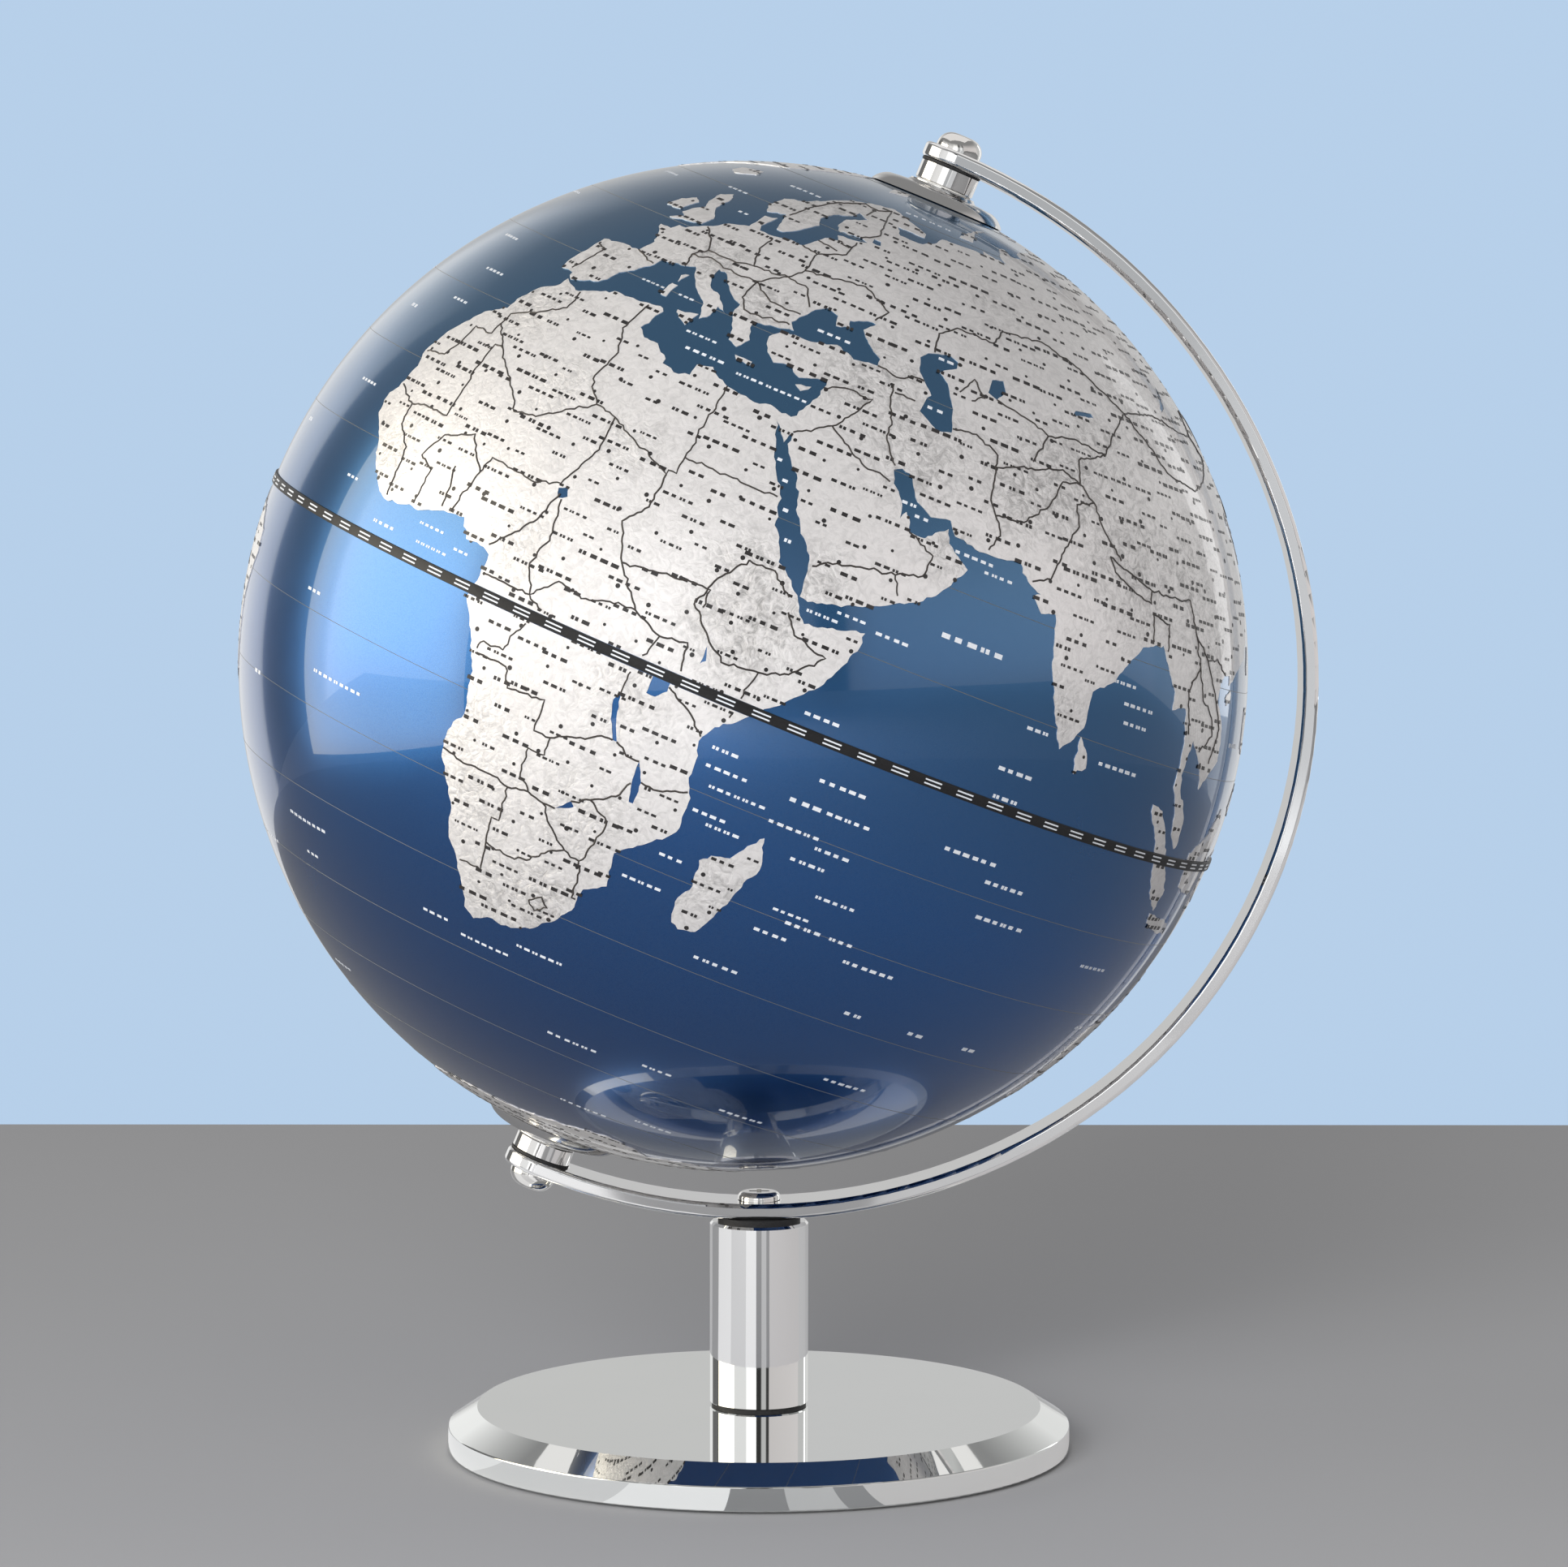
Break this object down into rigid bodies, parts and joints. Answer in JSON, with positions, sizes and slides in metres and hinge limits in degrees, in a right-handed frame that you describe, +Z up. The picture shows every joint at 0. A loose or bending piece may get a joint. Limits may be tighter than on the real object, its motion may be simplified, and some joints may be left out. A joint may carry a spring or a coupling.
{
  "type": "desktop globe on stand",
  "caption": "Tilted desktop globe: a printed ball with silver land turns between the ends of a C-shaped chromed arm on a short column and a round bevelled base.",
  "frame": {"origin": "centre of the foot pad's underside, on the table, under the column", "axes": "+Z up, -Z out of the foot; the arm lies in the XZ plane and the north end of the ball leans towards +X; the front of the object faces -Y"},
  "size_m": [0.2137, 0.2006, 0.2629],
  "materials": {
    "base_chrome": "mirror-polished chrome plate",
    "column_chrome": "mirror-polished chrome plate",
    "arm_chrome": "polished chrome plate, softened edges",
    "screw_chrome": "polished chrome plate",
    "sleeve_chrome": "polished chrome plate, turned",
    "cap_silver": "satin silver plate",
    "map_north": "metallic print with raised silver land under clear lacquer",
    "map_south": "metallic print with raised silver land under clear lacquer",
    "band_print": "black tape printed with white scale blocks",
    "ring_plastic": "moulded, as-moulded finish",
    "bush_nylon": "turned natural nylon",
    "slip_nylon": "black nylon",
    "washer_black": "black fibre washer",
    "gasket_rubber": "black rubber",
    "foot_foam": "fine-celled black foam",
    "bolt_steel": "zinc-plated steel"
  },
  "bodies": {
    "stand": {"base_plate": "base_chrome", "foot_pad": "foot_foam", "base_bolt": "bolt_steel", "base_bolt_washer": "bolt_steel", "column": "column_chrome", "column_gasket": "gasket_rubber", "arm_gasket": "gasket_rubber", "arm": "arm_chrome", "arm_screw": "screw_chrome", "north_pivot_screw": "screw_chrome", "south_pivot_screw": "screw_chrome", "north_washer": "washer_black", "south_washer": "washer_black", "north_sleeve": "sleeve_chrome", "south_sleeve": "sleeve_chrome", "north_slip_washer": "slip_nylon", "south_slip_washer": "slip_nylon"},
    "globe": {"north_hemisphere": "map_north", "south_hemisphere": "map_south", "joining_ring": "ring_plastic", "equator_band": "band_print", "north_pole_cap": "cap_silver", "south_pole_cap": "cap_silver", "north_bush": "bush_nylon", "south_bush": "bush_nylon"}
  },
  "joints": [
    {"name": "globe_spin", "type": "hinge", "parent": "stand", "child": "globe", "pos_m": [-0.0032, 0, 0.1573], "axis": [0.3827, 0, 0.9239], "continuous": true}
  ]
}
